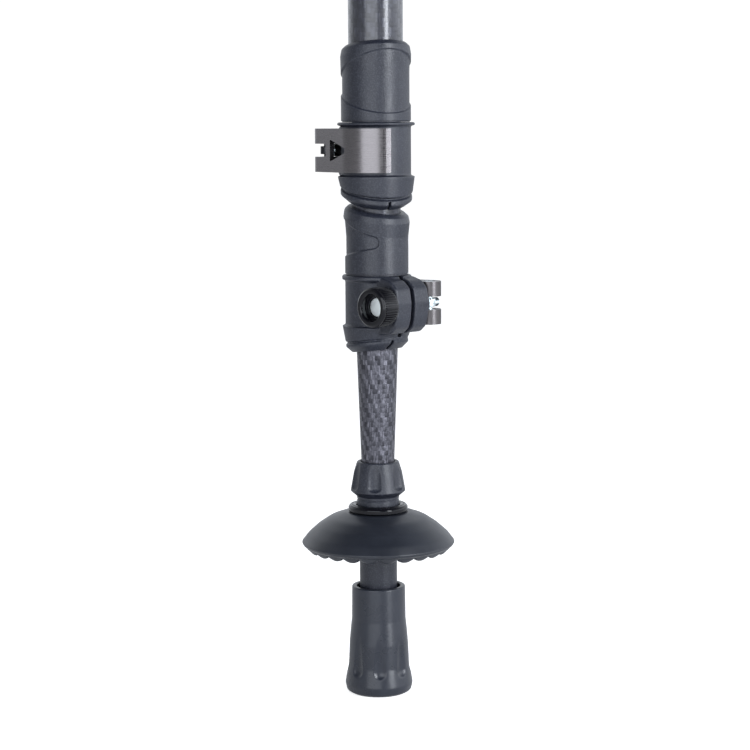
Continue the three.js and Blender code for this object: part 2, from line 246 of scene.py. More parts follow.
def largest_part(piece):
    """Drops every loose fragment but the biggest."""
    mesh = bmesh.new()
    mesh.from_mesh(piece.data)
    left, parts = set(mesh.verts), []
    while left:
        part, edge = set(), [left.pop()]
        while edge:
            vert = edge.pop()
            part.add(vert)
            for link in vert.link_edges:
                other = link.other_vert(vert)
                if other in left:
                    left.discard(other)
                    edge.append(other)
        parts.append(part)
    biggest = max(parts, key=len)
    bmesh.ops.delete(mesh, geom=[v for part in parts if part is not biggest for v in part], context="VERTS")
    mesh.to_mesh(piece.data)
    mesh.free()
    return piece


def softened(piece, voxel=0.2, rounds=4):
    """Remeshes a moulded shape into fine even faces and rounds its edges slightly."""
    add_step(piece, "even", "REMESH", mode="VOXEL", voxel_size=voxel)
    add_step(piece, "round", "SMOOTH", factor=0.5, iterations=rounds)
    return applied(piece)


def edged(piece, width, segments=3, limit=35):
    """Rounds the sharp edges of a machined shape."""
    add_step(piece, "edge", "BEVEL", width=width, segments=segments, limit_method="ANGLE",
             angle_limit=math.radians(limit), use_clamp_overlap=True)
    return applied(piece)


def merged(name, pieces):
    """Joins several made pieces into one mesh of separate shells."""
    work = bmesh.new()
    for piece in pieces:
        work.from_mesh(piece.data)
        bpy.data.objects.remove(piece)
    result = new_object(name, [], [])
    work.to_mesh(result.data)
    work.free()
    return result


# ---- node-group helpers ----------------------------------------------------------------------
def socket(tree, name, kind, direction, value=None):
    made = tree.interface.new_socket(name=name, in_out=direction, socket_type=kind)
    if value is not None:
        made.default_value = value


def add_node(tree, kind, **settings):
    return with_settings(tree.nodes.new(kind), settings)


def give(tree, node, place, value):
    """Sets a node's input to a value, or links it to the socket that feeds it."""
    if isinstance(value, bpy.types.NodeSocket):
        tree.links.new(value, node.inputs[place])
    else:
        node.inputs[place].default_value = value


def set_values(node, **values):
    """Sets a node's inputs, whose names are written with _ for a space."""
    for name, value in values.items():
        node.inputs[name.replace("_", " ")].default_value = value
    return node


def math_node(tree, operation, *values):
    """A Math node; its inputs are numbers or the sockets that feed them."""
    node = add_node(tree, "ShaderNodeMath", operation=operation)
    for place, value in enumerate(values):
        give(tree, node, place, value)
    return node.outputs[0]


def times(tree, a, b):
    return math_node(tree, "MULTIPLY", a, b)


def plus(tree, a, b):
    return math_node(tree, "ADD", a, b)


def minus(tree, a, b):
    return math_node(tree, "SUBTRACT", a, b)


def divided(tree, a, b):
    return math_node(tree, "DIVIDE", a, b)


def ranged(tree, value, low, high, new_low=0.0, new_high=1.0, smooth=False):
    """Maps a value from low..high to new_low..new_high, and keeps it between them."""
    node = add_node(tree, "ShaderNodeMapRange", interpolation_type="SMOOTHSTEP" if smooth else "LINEAR")
    tree.links.new(value, node.inputs["Value"])
    for name, number in (("From Min", low), ("From Max", high), ("To Min", new_low), ("To Max", new_high)):
        give(tree, node, name, number)
    return node.outputs["Result"]


def noise(tree, vector, scale, detail=2.0, roughness=0.5):
    node = set_values(add_node(tree, "ShaderNodeTexNoise"), Detail=detail, Roughness=roughness)
    tree.links.new(vector, node.inputs["Vector"])
    give(tree, node, "Scale", scale)
    return node.outputs["Fac"]


def mixed(tree, factor, a, b):
    """Mixes two colours by a factor; a colour is four numbers or a socket."""
    node = add_node(tree, "ShaderNodeMix", data_type="RGBA")
    tree.links.new(factor, node.inputs["Factor"])
    colour_a, colour_b, colour_out = 6, 7, 2
    give(tree, node, colour_a, a)
    give(tree, node, colour_b, b)
    return node.outputs[colour_out]


def object_place(tree):
    return add_node(tree, "ShaderNodeTexCoord").outputs["Object"]


def object_axes(tree):
    split = add_node(tree, "ShaderNodeSeparateXYZ")
    give(tree, split, 0, object_place(tree))
    return split.outputs


def new_shader_group(name, numbers, outcomes):
    """A shader group with numbers going in and masks or heights coming out."""
    tree = bpy.data.node_groups.new(name, "ShaderNodeTree")
    for title, value in numbers:
        socket(tree, title, "NodeSocketFloat", "INPUT", value)
    for title in outcomes:
        socket(tree, title, "NodeSocketFloat", "OUTPUT")
    return tree, add_node(tree, "NodeGroupInput").outputs, add_node(tree, "NodeGroupOutput").inputs


# ---- shader groups ---------------------------------------------------------------------------
def make_grain_group():
    """Fine moulded grain: a height for bump, pale specks that stand in for the grain's glints (painted
    highlights), and a mask of slow unevenness in the surface.
    """
    tree, sizes, results = new_shader_group("moulded_grain", [("Grain Size mm", 0.3)],
                                            ("Height", "Unevenness", "Glint Specks"))
    place = object_place(tree)
    scale = divided(tree, 1 / MM, sizes["Grain Size mm"])
    fine = noise(tree, place, scale, 1.0)
    pits = noise(tree, place, times(tree, scale, 0.37), 3.0, 0.6)
    slow = noise(tree, place, 90.0, 3.0, 0.6)
    tree.links.new(plus(tree, times(tree, fine, 0.6), times(tree, pits, 0.4)), results["Height"])
    tree.links.new(ranged(tree, fine, 0.48, 0.66), results["Glint Specks"])
    tree.links.new(ranged(tree, slow, 0.3, 0.7), results["Unevenness"])
    return tree


def make_edge_group():
    """Rubbed edges: a mask where the surface turns sharply, broken up by noise."""
    tree, sizes, results = new_shader_group("rubbed_edges", [("Width mm", 0.3)], ("Mask",))
    bevel = add_node(tree, "ShaderNodeBevel", samples=4)
    give(tree, bevel, "Radius", times(tree, sizes["Width mm"], MM))
    dot = add_node(tree, "ShaderNodeVectorMath", operation="DOT_PRODUCT")
    give(tree, dot, 0, bevel.outputs["Normal"])
    give(tree, dot, 1, add_node(tree, "ShaderNodeNewGeometry").outputs["Normal"])
    turn = ranged(tree, dot.outputs["Value"], 0.99, 0.80, smooth=True)
    patches = ranged(tree, noise(tree, object_place(tree), 700.0, 3.0, 0.7), 0.40, 0.62)
    tree.links.new(times(tree, turn, patches), results["Mask"])
    return tree


def make_weave_group():
    """Twill-woven tow round a tube: a height for the tows, which way each tow runs, and its shade."""
    sizes = [("Radius mm", 8.0), ("Tow Width mm", 1.25), ("Tow Length mm", 1.25)]
    tree, sizes, results = new_shader_group("woven_tow", sizes, ("Height", "Warp", "Shade"))
    repeat, crown_drop = 4.0, 3.6
    axes = object_axes(tree)
    angle = math_node(tree, "ARCTAN2", axes["Y"], axes["X"])
    around = divided(tree, times(tree, sizes["Radius mm"], TURN), sizes["Tow Width mm"])
    whole = times(tree, math_node(tree, "ROUND", divided(tree, around, repeat)), repeat)
    u = times(tree, divided(tree, angle, TURN), whole)
    v = divided(tree, times(tree, axes["Z"], 1 / MM), sizes["Tow Length mm"])
    column, row = math_node(tree, "FLOOR", u), math_node(tree, "FLOOR", v)
    phase = math_node(tree, "FLOORED_MODULO", plus(tree, column, row), repeat)
    warp = math_node(tree, "LESS_THAN", phase, 1.5)

    def crown(place):
        offset = minus(tree, math_node(tree, "FRACT", place), 0.5)
        return minus(tree, 1.0, times(tree, times(tree, offset, offset), crown_drop))

    over = times(tree, crown(u), warp)
    under = times(tree, crown(v), minus(tree, 1.0, warp))
    tow = add_node(tree, "ShaderNodeCombineXYZ")
    give(tree, tow, 0, column)
    give(tree, tow, 1, row)
    white = add_node(tree, "ShaderNodeTexWhiteNoise", noise_dimensions="2D")
    give(tree, white, "Vector", tow.outputs[0])
    tree.links.new(plus(tree, over, under), results["Height"])
    tree.links.new(warp, results["Warp"])
    tree.links.new(white.outputs["Value"], results["Shade"])
    return tree


def make_brushed_group():
    """Fine brushing: long scratches round the pole's axis or along it."""
    tree, rates, results = new_shader_group("brushing", [("Across per m", 9000.0), ("Along per m", 150.0)],
                                            ("Scratches",))
    axes = object_axes(tree)
    join = add_node(tree, "ShaderNodeCombineXYZ")
    for axis, rate in (("X", "Along per m"), ("Y", "Along per m"), ("Z", "Across per m")):
        give(tree, join, axis, times(tree, axes[axis], rates[rate]))
    tree.links.new(noise(tree, join.outputs[0], 1.0, 3.0, 0.6), results["Scratches"])
    return tree


GRAIN = make_grain_group()
EDGES = make_edge_group()
WEAVE = make_weave_group()
BRUSHING = make_brushed_group()


# ---- materials -------------------------------------------------------------------------------
def start_material(name):
    material = bpy.data.materials.new(name)
    material.use_nodes = True
    tree = material.node_tree
    return material, tree, tree.nodes["Principled BSDF"]


def place_group(tree, group, **values):
    return set_values(add_node(tree, "ShaderNodeGroup", node_tree=group), **values).outputs


def bumped(tree, shader, height, distance):
    """Raises the surface by a height mask, whose full depth is a distance in millimetres."""
    bump = set_values(add_node(tree, "ShaderNodeBump"), Strength=1.0, Distance=distance * MM)
    give(tree, bump, "Height", height)
    give(tree, shader, "Normal", bump.outputs["Normal"])


def moulded(name, dark, light, mark_colour, rough, grain=0.3, depth=0.03, speckle=0.0):
    """Grained plastic or rubber, a little uneven, paler where its edges are rubbed, and with pale specks
    painted in as the grain's glints (painted highlights).
    """
    material, tree, shader = start_material(name)
    texture = place_group(tree, GRAIN, Grain_Size_mm=grain)
    body = mixed(tree, texture["Unevenness"], dark, light)
    # Pale specks mixed into the colour are painted highlights standing in for the grain's glints; the same
    # pale colour also marks the rubbed edges, which are real wear.
    specks = times(tree, texture["Glint Specks"], speckle)
    rubbed = math_node(tree, "MAXIMUM", place_group(tree, EDGES)["Mask"], specks)
    give(tree, shader, "Base Color", mixed(tree, rubbed, body, mark_colour))
    give(tree, shader, "Roughness", ranged(tree, texture["Unevenness"], 0.0, 1.0, rough - 0.05, rough + 0.06))
    bumped(tree, shader, texture["Height"], depth)
    return material


def glossy(name, colour, rough):
    """Polished plastic with faint handling marks."""
    material, tree, shader = start_material(name)
    set_values(shader, Base_Color=colour, Specular_IOR_Level=0.3)
    place = object_place(tree)
    marks = noise(tree, place, 420.0, 4.0, 0.7)
    give(tree, shader, "Roughness", ranged(tree, marks, 0.35, 0.75, rough, rough + 0.10))
    bumped(tree, shader, noise(tree, place, 160.0, 1.0), 0.02)
    return material


def carbon(name, radius, dark, light, rough, coat, metallic, tow, tow_length):
    """Woven carbon under resin: each tow has its own shade; warp and weft catch light differently through
    their roughness, and warp tows are also painted lighter, a painted sheen.
    """
    material, tree, shader = start_material(name)
    weave = place_group(tree, WEAVE, Radius_mm=radius, Tow_Width_mm=tow, Tow_Length_mm=tow_length)
    # The warp share of this factor is painted sheen: warp tows are coloured lighter than weft.
    shade = plus(tree, times(tree, weave["Shade"], 0.55), times(tree, weave["Warp"], 0.45))
    fibres = set_values(add_node(tree, "ShaderNodeMapping", vector_type="POINT"), Scale=(1.0, 1.0, 0.28))
    give(tree, fibres, "Vector", object_place(tree))
    uneven = noise(tree, fibres.outputs["Vector"], 1500.0, 3.0, 0.7)
    factor = times(tree, shade, ranged(tree, uneven, 0.35, 0.68, 0.15, 1.45))
    give(tree, shader, "Base Color", mixed(tree, factor, dark, light))
    give(tree, shader, "Roughness", ranged(tree, weave["Warp"], 0.0, 1.0, rough + 0.10, rough))
    set_values(shader, Metallic=metallic, Coat_Weight=coat, Coat_Roughness=0.19)
    bumped(tree, shader, weave["Height"], 0.06)
    return material


def metal(name, colour, mark_colour, rough, across=9000.0, along=150.0, depth=0.004):
    """Turned or brushed metal with fine scratches and brighter rubbed edges."""
    material, tree, shader = start_material(name)
    scratches = place_group(tree, BRUSHING, Across_per_m=across, Along_per_m=along)["Scratches"]
    rubbed = place_group(tree, EDGES)["Mask"]
    give(tree, shader, "Base Color", mixed(tree, rubbed, colour, mark_colour))
    shader.inputs["Metallic"].default_value = 1.0
    give(tree, shader, "Roughness", ranged(tree, scratches, 0.3, 0.7, rough - 0.06, rough + 0.08))
    bumped(tree, shader, scratches, depth)
    return material


def foam(name):
    """Closed-cell foam: small pits between fine cells."""
    material, tree, shader = start_material(name)
    place = object_place(tree)
    cells = set_values(add_node(tree, "ShaderNodeTexVoronoi"), Scale=1600.0)
    give(tree, cells, "Vector", place)
    uneven = noise(tree, place, 120.0, 4.0, 0.6)
    give(tree, shader, "Base Color", mixed(tree, uneven, (0.012, 0.0125, 0.014, 1), (0.028, 0.029, 0.032, 1)))
    set_values(shader, Roughness=0.85, Sheen_Weight=0.15)
    bumped(tree, shader, cells.outputs["Distance"], 0.12)
    return material


def tinted_glass(name):
    """The level's vial: clear plastic tinted yellow-green by its fluid."""
    material, tree, shader = start_material(name)
    cloud = noise(tree, object_place(tree), 90.0)
    tint = mixed(tree, cloud, (0.74, 0.86, 0.20, 1), (0.80, 0.90, 0.28, 1))
    give(tree, shader, "Base Color", tint)
    set_values(shader, Roughness=0.04, Transmission_Weight=0.85, IOR=1.45)
    return material


MOULDED = moulded("grained_black_plastic", (0.008, 0.0095, 0.017, 1), (0.013, 0.0155, 0.025, 1),
                  (0.060, 0.064, 0.080, 1), 0.40, grain=0.42, depth=0.08, speckle=0.36)
BASKET = moulded("satin_basket_plastic", (0.012, 0.014, 0.020, 1), (0.017, 0.020, 0.028, 1),
                 (0.044, 0.047, 0.058, 1), 0.36, grain=0.22, depth=0.012)
RUBBER = moulded("satin_rubber", (0.013, 0.016, 0.024, 1), (0.019, 0.022, 0.032, 1),
                 (0.045, 0.049, 0.062, 1), 0.29, grain=0.5, depth=0.008)
GLOSS = glossy("polished_black", (0.004, 0.004, 0.006, 1), 0.06)
NYLON = moulded("natural_nylon", (0.42, 0.41, 0.37, 1), (0.52, 0.51, 0.47, 1), (0.6, 0.59, 0.55, 1), 0.42)
TITANIUM = metal("brushed_titanium_grey", (0.172, 0.162, 0.166, 1), (0.25, 0.24, 0.25, 1), 0.27, depth=0.0003)
ZINC = metal("bright_zinc", (0.74, 0.84, 0.88, 1), (0.92, 0.96, 0.98, 1), 0.26, 2500.0, 2500.0)
# A near-white copy of the zinc for the wheel nut's face: painted light, making the nut brighter than the zinc
# it is made of.
LIT_ZINC = metal("lit_zinc_copy", (0.95, 1.0, 1.0, 1), (0.92, 0.97, 0.99, 1), 0.5, 300.0, 300.0, 0.001)
STEEL = metal("turned_steel", (0.42, 0.43, 0.44, 1), (0.7, 0.71, 0.72, 1), 0.28)
# Dark steel for the thrust plates; on the upper clamp's pin it is painted shade.
DARK_STEEL = metal("dark_steel", (0.035, 0.035, 0.038, 1), (0.20, 0.20, 0.21, 1), 0.34)
# A darker, rougher copy of the grey titanium: painted shade on the middle clamp's lever, which is the same
# part as the upper clamp's.
SHADED_TITANIUM = metal("shaded_titanium_grey", (0.115, 0.108, 0.110, 1), (0.40, 0.39, 0.39, 1), 0.36, depth=0.0008)
LEVER_METAL_AND_SHADE = {"middle": SHADED_TITANIUM, "upper": TITANIUM}
# The upper clamp's pin takes the dark steel as painted shade; it is the same zinc pin as the middle clamp's.
PIN_METAL_AND_SHADE = {"middle": ZINC, "upper": DARK_STEEL}
ANODISED = metal("black_anodised", (0.018, 0.018, 0.021, 1), (0.22, 0.22, 0.23, 1), 0.38, 5000.0, 5000.0)
BRASS = metal("turned_brass", (0.62, 0.42, 0.16, 1), (0.85, 0.66, 0.32, 1), 0.28)
FOAM = foam("closed_cell_foam")
GLASS = tinted_glass("level_glass")
LOWER_CARBON = carbon("woven_carbon_lower", 6.6, (0.026, 0.026, 0.033, 1), (0.170, 0.168, 0.198, 1),
                      rough=0.34, coat=0.0, metallic=0.6, tow=0.85, tow_length=1.6)
MIDDLE_CARBON = carbon("woven_carbon_middle", 8.0, (0.009, 0.010, 0.017, 1), (0.030, 0.032, 0.048, 1),
                       rough=0.36, coat=0.5, metallic=0.15, tow=1.5, tow_length=1.5)
UPPER_CARBON = carbon("woven_carbon_upper", 9.0, (0.008, 0.009, 0.016, 1), (0.027, 0.029, 0.044, 1),
                      rough=0.34, coat=1.0, metallic=0.15, tow=1.5, tow_length=1.5)


def fit(piece, body, material, nodes=(), at=Matrix.Identity(4), smooth=35):
    """Puts a finished piece in the frame: its place, finish, body and the nodes it stands for."""
    piece.data.transform(Matrix.Scale(MM, 4) @ at)
    piece.data.materials.clear()
    piece.data.materials.append(material)
    for face in piece.data.polygons:
        face.use_smooth = True
        face.material_index = 0
    piece.data.set_sharp_from_angle(angle=math.radians(smooth))
    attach(piece, body)
    if nodes:
        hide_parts(*nodes)
    return piece


def flat_shaded_faces(piece):
    """Weights the shading by face area, so a rounded edge doesn't darken the broad face beside it."""
    add_step(piece, "weighted_normals", "WEIGHTED_NORMAL", mode="FACE_AREA", weight=100, keep_sharp=True)


# ---- geometry trees --------------------------------------------------------------------------
def new_geometry_tree(name, numbers):
    """A geometry tree with a mesh and a finish going in, and a mesh coming out."""
    tree = bpy.data.node_groups.new(name, "GeometryNodeTree")
    socket(tree, "Geometry", "NodeSocketGeometry", "INPUT")
    for title, value in numbers:
        socket(tree, title, "NodeSocketInt" if isinstance(value, int) else "NodeSocketFloat", "INPUT", value)
    socket(tree, "Finish", "NodeSocketMaterial", "INPUT")
    socket(tree, "Geometry", "NodeSocketGeometry", "OUTPUT")
    return tree, add_node(tree, "NodeGroupInput").outputs


def close_tree(tree, mesh, inputs):
    """Ends a tree: the copies are made real and take their finish."""
    real = add_node(tree, "GeometryNodeRealizeInstances")
    give(tree, real, 0, mesh)
    finish = add_node(tree, "GeometryNodeSetMaterial")
    give(tree, finish, "Geometry", real.outputs[0])
    give(tree, finish, "Material", inputs["Finish"])
    tree.links.new(finish.outputs[0], add_node(tree, "NodeGroupOutput").inputs[0])
    return tree


def make_ring_tree():
    """Repeats the piece's own mesh round the Z axis."""
    tree, inputs = new_geometry_tree("repeat_round_axis", [("Count", 12)])
    spots = set_values(add_node(tree, "GeometryNodeMeshLine", mode="OFFSET"), Offset=(0, 0, 0))
    give(tree, spots, "Count", inputs["Count"])
    step = divided(tree, TURN, inputs["Count"])
    spin = add_node(tree, "ShaderNodeCombineXYZ")
    index = add_node(tree, "GeometryNodeInputIndex").outputs[0]
    give(tree, spin, "Z", times(tree, index, step))
    copies = add_node(tree, "GeometryNodeInstanceOnPoints")
    give(tree, copies, "Points", spots.outputs["Mesh"])
    give(tree, copies, "Instance", inputs["Geometry"])
    give(tree, copies, "Rotation", spin.outputs[0])
    return close_tree(tree, copies.outputs[0], inputs)


def make_thread_tree():
    """A helical ridge: the crest of a screw thread, wound up from z = 0."""
    tree, inputs = new_geometry_tree("screw_thread", [("Radius", 1.5), ("Pitch", 0.5), ("Turns", 8.0),
                                                      ("Depth", 0.3)])
    helix = set_values(add_node(tree, "GeometryNodeCurveSpiral"), Resolution=40)
    give(tree, helix, "Rotations", inputs["Turns"])
    path_r = minus(tree, inputs["Radius"], inputs["Depth"])
    give(tree, helix, "Start Radius", path_r)
    give(tree, helix, "End Radius", path_r)
    give(tree, helix, "Height", times(tree, inputs["Turns"], inputs["Pitch"]))
    upright = add_node(tree, "GeometryNodeSetCurveNormal", mode="Z_UP")
    give(tree, upright, 0, helix.outputs[0])
    crest = set_values(add_node(tree, "GeometryNodeCurvePrimitiveCircle", mode="RADIUS"), Resolution=4)
    give(tree, crest, "Radius", inputs["Depth"])
    sweep = set_values(add_node(tree, "GeometryNodeCurveToMesh"), Fill_Caps=True)
    give(tree, sweep, "Curve", upright.outputs[0])
    give(tree, sweep, "Profile Curve", crest.outputs["Curve"])
    return close_tree(tree, sweep.outputs[0], inputs)


RING_TREE = make_ring_tree()
THREAD_TREE = make_thread_tree()


def run_tree(piece, tree, **values):
    """Runs a geometry tree on a piece with these named inputs and keeps the mesh it makes."""
    step = add_step(piece, "tree", "NODES", node_group=tree)
    names = {item.name: item.identifier for item in tree.interface.items_tree if item.in_out == "INPUT"}
    for name, value in values.items():
        step[names[name]] = value
    return applied(piece)


def threaded(name, r, z0, z1, pitch, depth, material, tip=0.4):
    """A threaded rod along Z: a plain core and the helical crest round it."""
    turns = (z1 - z0 - 2 * depth) / pitch
    crest = run_tree(new_object(name + "_crest", [], []), THREAD_TREE, Radius=r, Pitch=pitch, Turns=turns,
                     Depth=depth, Finish=material)
    moved(crest, shifted(z=z0 + depth))
    outward(crest)
    core_r = r - depth * 1.4
    core = lathed(name + "_core", [(0, z0), (core_r, z0, tip), (core_r, z1, tip), (0, z1)], 0.4, 4, 48)
    return merged(name, [core, crest])


def ridged(piece, ridge, count, material):
    """Adds a ring of ridges to a piece."""
    return merged(str(piece.name), [piece, run_tree(ridge, RING_TREE, Count=count, Finish=material)])


# ---- rubber foot -----------------------------------------------------------------------------
def soft_min(a, b, width):
    """The lower of two values, blended smoothly where they meet."""
    h = max(width - abs(a - b), 0.0) / width
    return min(a, b) - h * h * width * 0.25


def make_foot():
    flutes, first, blend = 8, 272, 0.22
    axis_r, cut_r, ball_z = 13.0, 3.3, 8.8
    skin_r, flute_z0, flute_z1 = 8.5, 0.5, 22

    def fluted(angle, r, z):
        if r < skin_r or z < flute_z0 or z > flute_z1:
            return r, z
        best = r
        step = TURN / flutes
        away = (angle - math.radians(first) + step / 2) % step - step / 2
        side = r * math.sin(away)
        drop = max(ball_z - z, 0.0)
        reach = cut_r ** 2 - side ** 2 - drop ** 2
        if reach > 0:
            best = soft_min(r, axis_r - math.sqrt(reach), blend)
        return best, z

    outer = [(0, 0), (9.6, 0, 0.8), (10.9, 0.75, 1.2), (11.4, 3.0, 2.5), (10.4, 9.3, 60), (9.95, 17.3, 100),
             (9.1, 25.3, 60), (8.96, 36.5, 0.5), (7.35, 36.5, 0.4), (7.3, 8, 0.3), (0, 8)]
    profile = dense(filleted(outer, 0.5, 6, closed=False), 0.28, False,
                    lambda r, z: r > skin_r and z < flute_z1)
    foot = revolve("rubber_foot_body", profile, 392, fluted)
    fit(foot, "foot", RUBBER, ["rubber_foot"], smooth=60)


# ---- ferrule, tip and basket -------------------------------------------------------------------
def make_ferrule():
    azimuths = (205, 263, 323, 23, 83, 143)
    skin_r, dimple_z0, dimple_z1, widest = 6.9, 68, 78.6, 0.6
    cut_r, round_z, squash, blend = 3.0, 71.0, 1.6, 0.2
    floor_r, floor_z, floor_slope = 7.15, 77.0, 0.10

    def dimpled(angle, r, z):
        if r < skin_r or z < dimple_z0 or z > dimple_z1:
            return r, z
        best = r
        for azimuth in azimuths:
            away = (angle - math.radians(azimuth) + math.pi) % TURN - math.pi
            if abs(away) > widest:
                continue
            side = r * math.sin(away)
            floor = floor_r + floor_slope * (floor_z - z)
            drop = max(round_z - z, 0.0)
            reach = cut_r ** 2 - side ** 2 - (squash * drop) ** 2
            if reach > 0:
                best = min(best, soft_min(r, floor + cut_r - math.sqrt(reach), blend))
        return best, z

    cone = [(0, 16), (6.3, 16, 0.4), (6.3, 61.8, 0.2), (7.06, 62.4, 0.2), (7.06, 65.9, 0.1),
            (6.86, 66.05, 0.08), (6.86, 66.3, 0.08), (7.06, 66.45, 0.1), (7.06, 67.2, 0.2),
            (9.2, 69.0, 0.5), (8.05, 75.5, 6), (6.95, 79.0, 0.9), (5.84, 79.0, 0.15),
            (5.84, 66, 0.1), (0, 66)]
    profile = dense(filleted(cone, 0.2, 5, closed=False), 0.2, False, lambda r, z: r > 6.8 and z > 67)
    body = revolve("tip_ferrule_body", profile, 288, dimpled)
    fit(body, "tip_section", MOULDED, ["tip_ferrule"], smooth=60)
    point = [(0, 10), (1.3, 10, 0.3), (2.5, 13.5, 0.3), (2.5, 19.6, 0.2), (0, 19.6)]
    tip = lathed("carbide_tip", point, 0.4, 4, 64)
    fit(tip, "tip_section", STEEL, ["steel_tip"])


def make_basket():
    lobes, rib_count, inner = 24, 12, 6.6
    lobe_r, lobe_half, lobe_drop = 22.7, 1.9, 1.35
    lobe_in, lobe_out, lobe_top = 20.5, 24.6, 51.2

    def scalloped(angle, r, z):
        if r < lobe_in or r > lobe_out or z > lobe_top:
            return r, z
        wave = abs(math.sin(lobes * angle / 2)) ** 0.6
        depth = 1.0 - min(abs(r - lobe_r) / lobe_half, 1.0) ** 2
        return r, z - lobe_drop * wave * depth

    dish = [(inner, 54.2), (7.7, 54.0, 0.2), (8.6, 56.4, 0.4), (14, 55.0, 4), (19, 52.4, 3),
            (21.2, 50.5, 0.6), (22.7, 49.95, 0.6), (24.3, 50.3, 0.5), (25.3, 50.9, 0.4), (25.7, 51.7, 0.4),
            (23.6, 54.4, 8), (20.1, 57.5, 10), (16.2, 60.1, 10), (11, 61.9, 3), (inner, 61.95, 0.2)]
    profile = dense(filleted(dish, 0.4, 6), 0.3, where=lambda r, z: r > 20 and z < 51.5)
    body = revolve("basket_dish_body", profile, 480, scalloped)
    fit(body, "basket_dish", BASKET, ["basket"], smooth=50)
    rib_r, rib_long, rib_top, rib_foot = 8.4, 12.2, 56.9, 54.4
    rib = prism("basket_rib", [(rib_r, -0.45), (20.6, -0.35), (20.6, 0.35), (rib_r, 0.45)], 0, 1)
    for vertex in rib.data.vertices:
        out = max((vertex.co.x - rib_r) / rib_long, 0.0)
        top = rib_top - 4.9 * out ** 1.6
        vertex.co.z = top if vertex.co.z > 0.5 else rib_foot - 3.0 * out
    ribs = run_tree(rib, RING_TREE, Count=rib_count, Finish=BASKET)
    ribs.name = "basket_ribs"
    fit(ribs, "basket_dish", BASKET)


def make_basket_ring():
    beads = [(7.4, 62.2, 0.1), (9.96, 62.2, 0.3), (9.96, 63.6, 0.5), (9.45, 64.3, 0.3), (9.0, 64.35, 0.2),
             (8.75, 64.0, 0.12), (8.5, 64.45, 0.3), (7.9, 64.5, 0.4), (7.4, 64.1, 0.2)]
    ring = revolve("basket_lock_ring", filleted(beads, 0.2, 5), 192)
    fit(ring, "basket_hub", GLOSS, ["basket_ring"], smooth=50)


# ---- tubes -----------------------------------------------------------------------------------
def make_tubes():
    lower = [(3.9, 66.4), (5.54, 66.4), (5.54, 79), (6.78, 114.7, 30), (7.0, 121, 10), (7.0, 535, 0.1),
             (6.3, 535, 0.1), (6.3, 123)]
    tube = revolve("lower_carbon_tube", filleted(lower, 0, 8), 160)
    fit(tube, "tip_section", LOWER_CARBON, ["lower_tube"], smooth=40)
    for name, material, node, body in (
        ("middle", MIDDLE_CARBON, "middle_tube", "middle_section"),
        ("upper", UPPER_CARBON, "upper_tube", "upper_section"),
    ):
        r, (z0, z1) = TUBE[name], heights(node)
        wall = [(r - WALL, z0, 0.1), (r, z0, 0.1), (r, z1, 0.1), (r - WALL, z1, 0.1)]
        fit(revolve(f"{name}_carbon_tube", filleted(wall), 160), body, material, [node])


# ---- lever clamps ----------------------------------------------------------------------------
def joint(name):
    return next(j for j in frame["joints"] if j["name"] == name)


class Clamp:
    """One clamp's own frame, read from its joints: ears along +X, lever on +Y, wheel on -Y."""

    def __init__(self, name):
        pin = Vector(joint(f"{name}_lever_open")["pos_m"]) / MM
        side = Vector(joint(f"{name}_screw_slide")["axis"])
        self.name = name
        self.azimuth = math.atan2(-side.x, side.y)
        self.at = shifted(z=pin.z) @ Matrix.Rotation(self.azimuth, 4, "Z")
        local = self.at.inverted() @ pin
        self.screw_x, self.pin_y = local.x, local.y
        self.tube = TUBE[name]
        self.held = TUBE["lower" if name == "middle" else "middle"]
        self.sleeve = SLEEVE[name]
        self.collar = COLLAR[name]
        self.section = f"{name}_section"


def smoothstep(low, high, value):
    t = min(max((value - low) / (high - low), 0.0), 1.0)
    return t * t * (3 - 2 * t)


def make_sleeve(clamp):
    s = clamp.sleeve
    slope = math.tan(math.radians(s["tilt"]))
    top, foot = s["panel"]["top"], s["panel"]["foot"]
    half_span = math.radians(130)
    panel_depth, taper = 0.45, 9

    def panelled(angle, r, z):
        if r > clamp.tube + 1.0 and z > s["z0"]:
            psi = angle - math.pi
            high = top[0] + top[1] * math.cos(psi)
            low = foot[0] - foot[1] * math.cos(psi)
            middle, half = (high + low) / 2, (high - low) / 2
            past = max(abs(psi) - half_span, 0.0) * r
            inside = half - math.hypot(z - middle, past) if past > 0 else half - abs(z - middle)
            r -= panel_depth * smoothstep(-0.2, 0.2, inside)
        weight = min(max((z - (s["z1"] - taper)) / taper, 0.0), 1.0)
        return r, z - weight * slope * r * math.cos(angle)

    inner = clamp.tube + 0.08
    neck = s["r"] - 0.35
    rest = clamp.collar["flange"][2] + 0.05
    outline = [(inner, rest, 0.02), (neck, rest, 0.02),
               (neck, s["z0"], 0.05), (s["r"], s["z0"], 0.35), (s["r"], s["z1"] - taper, 6),
               (s["bulge"], s["z1"] - 3.4, 1.5), (s["bulge"] - 0.4, s["z1"] - 1.1, 1.0),
               (s["bulge"] - 1.6, s["z1"], 0.8), (inner, s["z1"] + 0.05, 0.1)]
    profile = dense(filleted(outline, 0.3, 6), 0.17, where=lambda r, z: r > clamp.tube + 1)
    piece = revolve(f"{clamp.name}_sleeve_moulding", profile, 360, panelled)
    fit(piece, clamp.section, MOULDED, [f"{clamp.name}_sleeve"], clamp.at, smooth=60)


def ear_outline(clamp):
    """The ears' rounded D shape in the plane of the screw."""
    dx = clamp.screw_x - 12.2
    return filleted([(5, 8.9), (10.2 + dx, 8.9, 2.0), (13.6 + dx, 7.9, 3.5), (16.2 + dx, 5.6, 3.5),
                     (16.95 + dx, 0.8, 5), (16.6 + dx, -3.8, 4), (15.7 + dx, -7.1, 3), (13.2 + dx, -9.2, 2),
                     (5, -9.9)], 1.0, 6)


